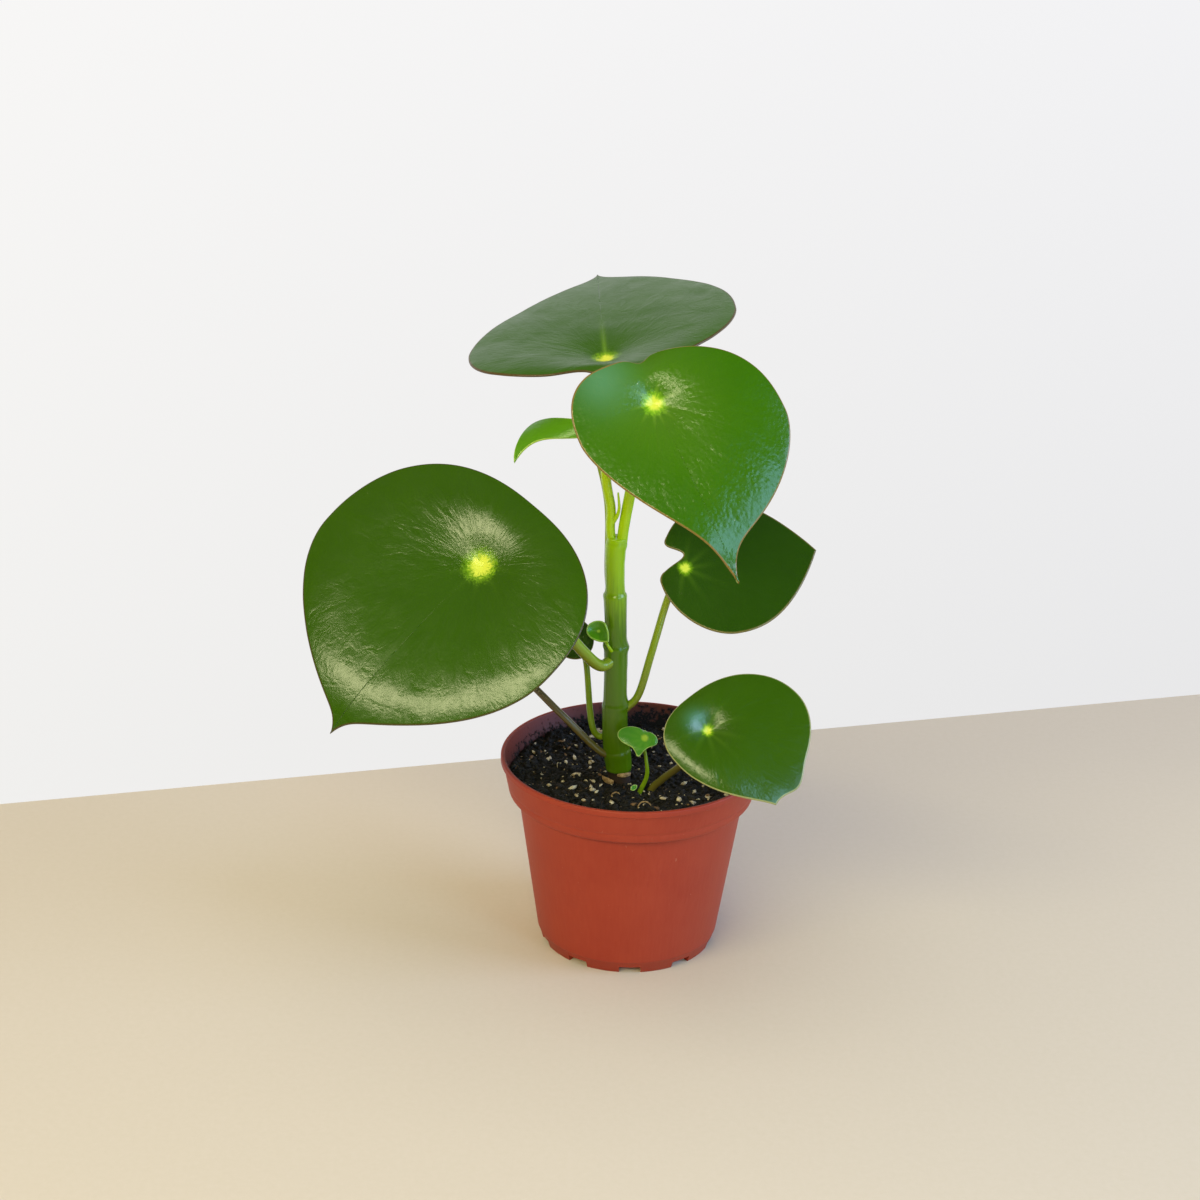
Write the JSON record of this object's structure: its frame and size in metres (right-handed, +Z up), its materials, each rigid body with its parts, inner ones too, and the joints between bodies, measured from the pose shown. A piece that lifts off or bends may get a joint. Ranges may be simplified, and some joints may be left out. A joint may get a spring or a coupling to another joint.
{
  "type": "potted peperomia plant",
  "caption": "House plant with glossy heart-shaped leaves on long stalks, standing in soil in a round plastic nursery pot with a deep collar.",
  "frame": {"origin": "centre of the pot's underside, on the surface that the pot stands on", "axes": "+Z up along the pot's axis; -Y is the front, towards which most leaves face; +X is to the right seen from the front"},
  "size_m": [0.2243, 0.1989, 0.2946],
  "materials": {
    "pot_plastic": "satin",
    "soil": "matte",
    "stem_flesh": "satin",
    "stalk_flesh": "satin",
    "old_stalk_flesh": "satin",
    "leaf": "gloss",
    "young_leaf": "gloss",
    "shaded_leaf": "gloss"
  },
  "bodies": {
    "root": {"pot": "pot_plastic", "soil": "soil", "main_stem": "stem_flesh", "petiole_left_large": "stalk_flesh", "petiole_heart": "stem_flesh", "petiole_top": "stem_flesh", "petiole_young": "stalk_flesh", "petiole_right": "stalk_flesh", "petiole_behind_small": "stalk_flesh", "petiole_behind_old": "old_stalk_flesh", "petiole_cup": "stem_flesh", "petiole_lower_right": "old_stalk_flesh", "sprout_stem": "stalk_flesh", "blade_left_large": "leaf", "blade_heart": "young_leaf", "blade_top": "leaf", "blade_young": "young_leaf", "blade_right": "shaded_leaf", "blade_lower_right": "leaf", "blade_behind_small": "shaded_leaf", "blade_behind_old": "shaded_leaf", "blade_cup": "young_leaf", "blade_sprout": "young_leaf"}
  },
  "joints": []
}
